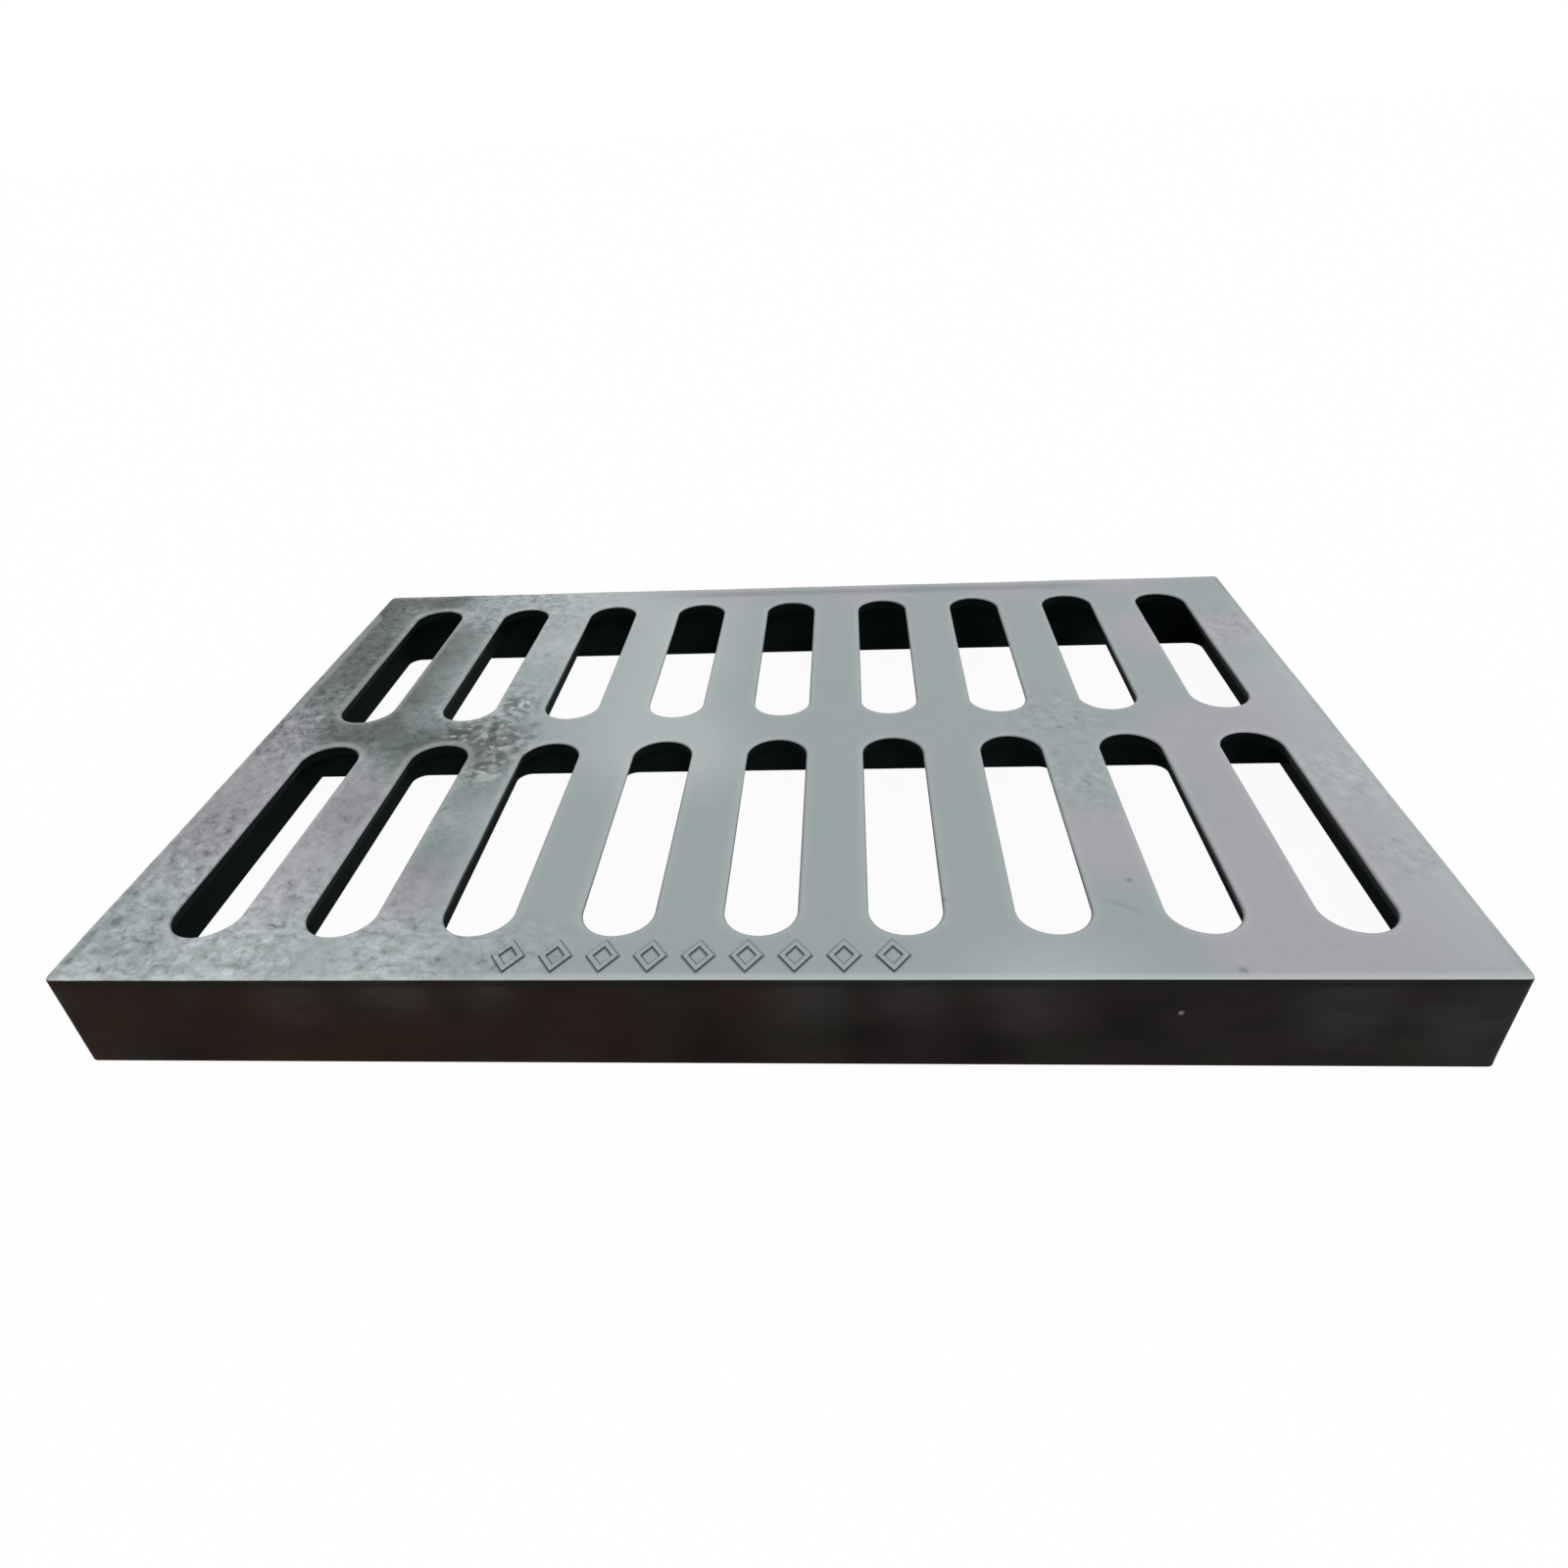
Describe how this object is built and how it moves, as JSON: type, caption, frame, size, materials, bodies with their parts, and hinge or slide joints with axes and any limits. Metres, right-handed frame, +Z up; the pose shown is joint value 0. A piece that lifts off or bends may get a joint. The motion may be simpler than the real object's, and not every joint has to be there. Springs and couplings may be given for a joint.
{
  "type": "drain grate",
  "caption": "Rectangular cast-iron gully grate with two rows of round-ended slots, a deep rim that seats in a frame and a ribbed underside.",
  "frame": {"origin": "centre of the seat, the plane of the rim's lower edge, so z = 0 is what the grate rests on", "axes": "+X along the grate's length, +Y across its width from the front border with the raised lozenges to the back, +Z up through the walking surface"},
  "size_m": [0.6, 0.4, 0.0508],
  "materials": {
    "casting": "satin"
  },
  "bodies": {
    "root": {"grate": "casting"}
  },
  "joints": []
}
